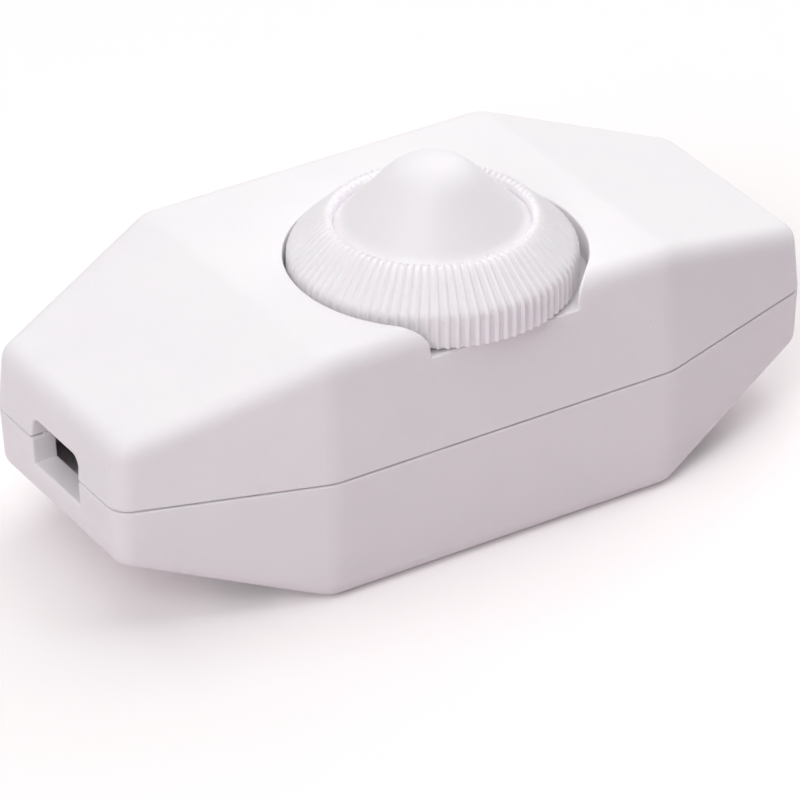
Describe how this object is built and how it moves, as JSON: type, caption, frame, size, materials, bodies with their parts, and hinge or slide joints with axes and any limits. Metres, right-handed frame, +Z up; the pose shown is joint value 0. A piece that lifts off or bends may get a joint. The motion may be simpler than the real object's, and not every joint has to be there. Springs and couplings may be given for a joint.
{
  "type": "inline rotary dimmer",
  "caption": "Long eight-sided housing with a fluted conical dial in a round well that opens in its side, and a flat-cord inlet at each end.",
  "frame": {"origin": "centre of the housing's flat underside footprint, on the surface it rests on", "axes": "+X along the cord, from one inlet to the other; the dial's exposed side faces -Y; +Z up through the dial"},
  "size_m": [0.0844, 0.041, 0.0398],
  "materials": {
    "housing_plastic": "satin moulded white",
    "dial_plastic": "satin moulded white",
    "screw_steel": "zinc plated",
    "shaft_plastic": "natural",
    "bushing_metal": "die cast",
    "nut_steel": "nickel plated",
    "case_phenolic": "dark phenolic",
    "contact_brass": "stamped",
    "track_board": "printed phenolic",
    "rotor_plastic": "natural",
    "switch_plastic": "black",
    "board_laminate": "paper laminate",
    "sink_aluminium": "mill",
    "lead_metal": "tinned",
    "epoxy_black": "moulded",
    "ferrite": "sintered",
    "winding_copper": "enamelled",
    "capacitor_box": "moulded",
    "capacitor_small": "moulded",
    "resistor_body": "lacquered",
    "diac_body": "lacquered",
    "fuse_glass": "clear",
    "terminal_plastic": "moulded",
    "clamp_plastic": "moulded"
  },
  "bodies": {
    "housing": {"lower_housing": "housing_plastic", "upper_housing": "housing_plastic", "housing_screws": "screw_steel", "control_bushing": "bushing_metal", "bushing_nut": "nut_steel", "control_case": "case_phenolic", "control_lugs": "contact_brass", "resistive_track": "track_board", "switch_case": "switch_plastic", "lever_pin": "screw_steel", "fixed_contacts": "contact_brass", "circuit_board": "board_laminate", "board_screws": "screw_steel", "heat_sink": "sink_aluminium", "triac_frame": "lead_metal", "triac_body": "epoxy_black", "triac_rivet": "sink_aluminium", "choke_core": "ferrite", "choke_winding": "winding_copper", "film_capacitor": "capacitor_box", "timing_capacitor": "capacitor_small", "resistors": "resistor_body", "diac": "diac_body", "fuse_tube": "fuse_glass", "fuse_wire": "lead_metal", "fuse_caps": "lead_metal", "fuse_clips": "contact_brass", "terminal_blocks": "terminal_plastic", "terminal_screws": "screw_steel", "cord_clamps": "clamp_plastic", "clamp_screws": "screw_steel"},
    "dial": {"dial_knob": "dial_plastic", "control_shaft": "shaft_plastic", "wiper_rotor": "rotor_plastic", "wiper_contact": "contact_brass", "switch_cam": "rotor_plastic"},
    "lever": {"switch_lever": "contact_brass", "moving_contact": "contact_brass"}
  },
  "joints": [
    {"name": "dial_turn", "type": "hinge", "parent": "housing", "child": "dial", "pos_m": [0, -0.0058, 0.0255], "axis": [0, 0, 1], "range_deg": [-300, 0]},
    {"name": "lever_swing", "type": "hinge", "parent": "housing", "child": "lever", "pos_m": [0.005, -0.0008, 0.0125], "axis": [0, 0, 1], "range_deg": [0, 14]}
  ]
}
